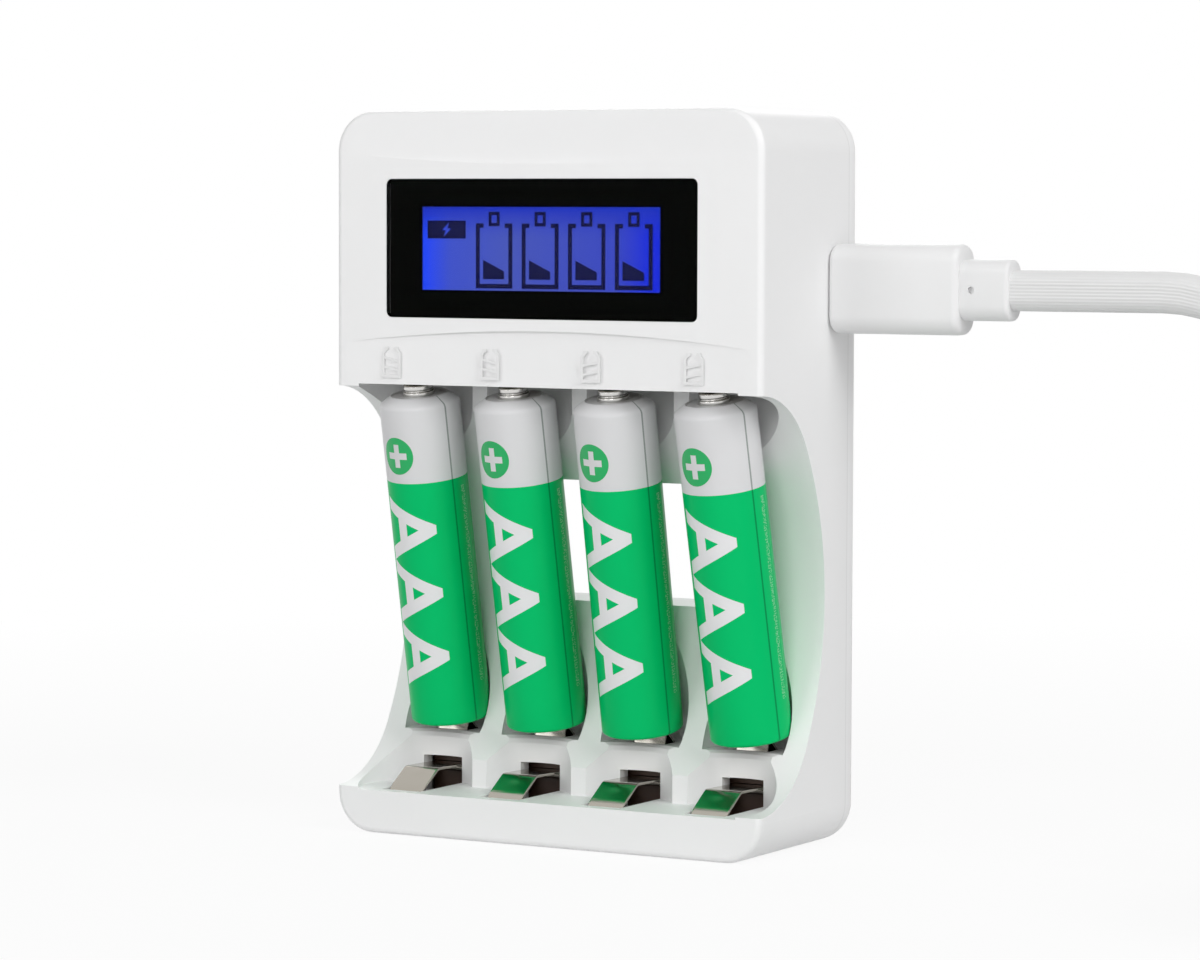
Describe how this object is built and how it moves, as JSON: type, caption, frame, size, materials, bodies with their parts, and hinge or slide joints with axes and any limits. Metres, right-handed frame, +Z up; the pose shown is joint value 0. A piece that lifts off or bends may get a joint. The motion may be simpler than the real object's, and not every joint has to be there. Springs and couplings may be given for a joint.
{
  "type": "battery charger",
  "caption": "Upright cell charger with a lit display in its hood, open stepped bays holding leaning AAA cells, sprung AA contacts on a ledge and a USB lead plugged into its side.",
  "frame": {"origin": "middle of the case's bottom face, on the surface that it stands on", "axes": "+X to the right seen from the front, +Y from the front to the back, +Z up"},
  "size_m": [0.1915, 0.0582, 0.0915],
  "materials": {
    "case_white": "fine satin moulded plastic",
    "lens_clear": "polished clear lens",
    "mask_black": "black print behind the lens",
    "lcd_blue": "backlit blue display glass",
    "backlight_white": "milky light guide",
    "connector_rubber": "striped conductive rubber",
    "board_green": "solder-masked board",
    "board_brown": "bare phenolic board",
    "part_black": "moulded black plastic",
    "capacitor_can": "sleeved can",
    "socket_steel": "plated sheet steel",
    "wire_red": "insulated wire",
    "screw_steel": "plated screws",
    "contact_nickel": "nickel-plated spring strip",
    "cell_steel": "nickel-plated steel can",
    "sleeve_green": "printed shrink sleeve",
    "plug_white": "satin moulded plastic",
    "cord_white": "ribbed white cord jacket",
    "tie_black": "black cord tie"
  },
  "bodies": {
    "charger": {"front_case": "case_white", "rear_cover": "case_white", "display_lens": "lens_clear", "display_mask": "mask_black", "lcd_panel": "lcd_blue", "lcd_backlight": "backlight_white", "lcd_connector": "connector_rubber", "display_board": "board_green", "main_board": "board_green", "lower_board": "board_brown", "controller_chip": "part_black", "charge_transistors": "part_black", "contact_carrier": "part_black", "capacitors": "capacitor_can", "usb_socket": "socket_steel", "usb_plug_tongue": "socket_steel", "usb_a_shell": "socket_steel", "link_wires": "wire_red", "case_screws": "screw_steel", "positive_contact_1": "contact_nickel", "positive_contact_2": "contact_nickel", "positive_contact_3": "contact_nickel", "positive_contact_4": "contact_nickel", "cell_can_1": "cell_steel", "cell_can_2": "cell_steel", "cell_can_3": "cell_steel", "cell_can_4": "cell_steel", "cell_sleeve_1": "sleeve_green", "cell_sleeve_2": "sleeve_green", "cell_sleeve_3": "sleeve_green", "cell_sleeve_4": "sleeve_green", "usb_plug_grip": "plug_white", "cord_collar": "plug_white", "usb_a_grip": "plug_white", "usb_cord": "cord_white", "usb_cord_coil": "cord_white", "usb_cord_tail": "cord_white", "cord_tie": "tie_black"},
    "aa_contact_1": {"aa_contact_1": "contact_nickel"},
    "aa_contact_2": {"aa_contact_2": "contact_nickel"},
    "aa_contact_3": {"aa_contact_3": "contact_nickel"},
    "aa_contact_4": {"aa_contact_4": "contact_nickel"},
    "aaa_contact_1": {"aaa_contact_1": "contact_nickel"},
    "aaa_contact_2": {"aaa_contact_2": "contact_nickel"},
    "aaa_contact_3": {"aaa_contact_3": "contact_nickel"},
    "aaa_contact_4": {"aaa_contact_4": "contact_nickel"}
  },
  "joints": [
    {"name": "aa_contact_1_press", "type": "hinge", "parent": "charger", "child": "aa_contact_1", "pos_m": [-0.0219, 0.00155, 0.0072], "axis": [1, 0, 0], "range_deg": [0, 12], "stiffness_Nm_per_rad": 0.05},
    {"name": "aaa_contact_1_press", "type": "hinge", "parent": "charger", "child": "aaa_contact_1", "pos_m": [-0.0219, 0.00575, 0.00954], "axis": [1, 0, 0], "range_deg": [0, 3], "stiffness_Nm_per_rad": 0.05},
    {"name": "aa_contact_2_press", "type": "hinge", "parent": "charger", "child": "aa_contact_2", "pos_m": [-0.0073, 0.00155, 0.0072], "axis": [1, 0, 0], "range_deg": [0, 12], "stiffness_Nm_per_rad": 0.05},
    {"name": "aaa_contact_2_press", "type": "hinge", "parent": "charger", "child": "aaa_contact_2", "pos_m": [-0.0073, 0.00575, 0.00954], "axis": [1, 0, 0], "range_deg": [0, 3], "stiffness_Nm_per_rad": 0.05},
    {"name": "aa_contact_3_press", "type": "hinge", "parent": "charger", "child": "aa_contact_3", "pos_m": [0.0073, 0.00155, 0.0072], "axis": [1, 0, 0], "range_deg": [0, 12], "stiffness_Nm_per_rad": 0.05},
    {"name": "aaa_contact_3_press", "type": "hinge", "parent": "charger", "child": "aaa_contact_3", "pos_m": [0.0073, 0.00575, 0.00954], "axis": [1, 0, 0], "range_deg": [0, 3], "stiffness_Nm_per_rad": 0.05},
    {"name": "aa_contact_4_press", "type": "hinge", "parent": "charger", "child": "aa_contact_4", "pos_m": [0.0219, 0.00155, 0.0072], "axis": [1, 0, 0], "range_deg": [0, 12], "stiffness_Nm_per_rad": 0.05},
    {"name": "aaa_contact_4_press", "type": "hinge", "parent": "charger", "child": "aaa_contact_4", "pos_m": [0.0219, 0.00575, 0.00954], "axis": [1, 0, 0], "range_deg": [0, 3], "stiffness_Nm_per_rad": 0.05}
  ]
}
